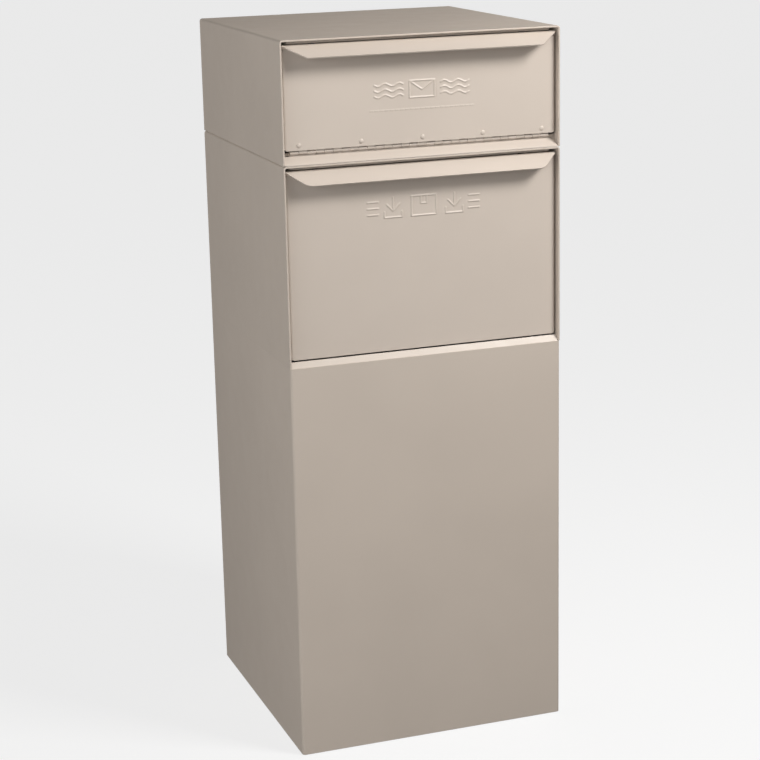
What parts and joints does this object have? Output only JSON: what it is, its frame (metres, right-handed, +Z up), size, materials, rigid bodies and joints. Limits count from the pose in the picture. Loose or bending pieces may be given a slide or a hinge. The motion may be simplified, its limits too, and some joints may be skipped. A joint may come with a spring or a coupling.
{
  "type": "letter and parcel drop vault",
  "caption": "Free-standing sheet steel vault with a hinged letter door over a parcel door that opens as a scoop, both with flared pull lips, and a locked rear door to the bin.",
  "frame": {"origin": "on the ground under the middle of the bounding box", "axes": "+Z up, -Y out of the front doors, +X to the right seen from the front"},
  "size_m": [0.4124, 0.4358, 1.041],
  "materials": {
    "casing_paint": "warm beige satin powder coat",
    "door_paint": "warm beige satin powder coat",
    "inner_paint": "beige powder coat, thinner inside",
    "zinc": "zinc-plated steel, dull",
    "stainless": "stainless steel, satin",
    "lock_chrome": "bright chrome",
    "rubber": "black rubber",
    "magnet": "dark grey magnet in a moulded case"
  },
  "bodies": {
    "casing": {"base_shell": "casing_paint", "base_floor": "zinc", "parcel_box_shell": "casing_paint", "letter_box_shell": "casing_paint", "letter_box_floor": "inner_paint", "letter_box_back": "casing_paint", "letter_sill": "door_paint", "letter_hinge_riser": "inner_paint", "letter_header": "inner_paint", "parcel_header": "inner_paint", "hopper_baffle": "inner_paint", "joining_bolt_1": "stainless", "joining_bolt_2": "stainless", "joining_bolt_3": "stainless", "joining_bolt_4": "stainless", "joining_nut_1": "stainless", "joining_nut_2": "stainless", "joining_nut_3": "stainless", "joining_nut_4": "stainless", "letter_hinge_fixed_leaf": "door_paint", "letter_hinge_pin": "stainless", "letter_bumper_left": "rubber", "letter_bumper_right": "rubber", "parcel_bumper_left": "rubber", "parcel_bumper_right": "rubber", "letter_magnet": "magnet", "hopper_bracket_left": "zinc", "hopper_bracket_right": "zinc", "rear_jamb_left": "inner_paint", "rear_jamb_right": "inner_paint", "rear_frame_header": "inner_paint", "rear_frame_foot": "inner_paint", "rear_hinge_fixed_leaf": "casing_paint", "rear_hinge_pin": "stainless"},
    "letter_door": {"letter_door_panel": "door_paint", "letter_hinge_moving_leaf": "door_paint", "letter_rivet_1": "door_paint", "letter_rivet_2": "door_paint", "letter_rivet_3": "door_paint", "letter_rivet_4": "door_paint", "letter_rivet_5": "door_paint", "letter_catch_strike": "zinc"},
    "hopper": {"parcel_door_panel": "door_paint", "hopper_cheek_left": "inner_paint", "hopper_cheek_right": "inner_paint", "hopper_chute": "inner_paint", "hopper_rod": "stainless"},
    "rear_door": {"rear_door_panel": "casing_paint", "rear_door_stiffener": "inner_paint", "rear_hinge_moving_leaf": "casing_paint", "lock_body": "lock_chrome", "lock_nut": "zinc"},
    "lock_plug_and_cam": {"lock_plug": "lock_chrome", "lock_cam": "zinc", "lock_cam_screw": "zinc"}
  },
  "joints": [
    {"name": "letter_door_hinge", "type": "hinge", "parent": "casing", "child": "letter_door", "pos_m": [0, -0.18684, 0.8866], "axis": [1, 0, 0], "range_deg": [0, 100]},
    {"name": "hopper_hinge", "type": "hinge", "parent": "casing", "child": "hopper", "pos_m": [0, -0.18274, 0.6015], "axis": [1, 0, 0], "range_deg": [0, 60]},
    {"name": "rear_door_hinge", "type": "hinge", "parent": "casing", "child": "rear_door", "pos_m": [0.20085, 0.21526, 0.435], "axis": [0, 0, -1], "range_deg": [0, 110]},
    {"name": "lock_turn", "type": "hinge", "parent": "rear_door", "child": "lock_plug_and_cam", "pos_m": [-0.163, 0.21326, 0.47], "axis": [0, 1, 0], "range_deg": [0, 90]}
  ]
}
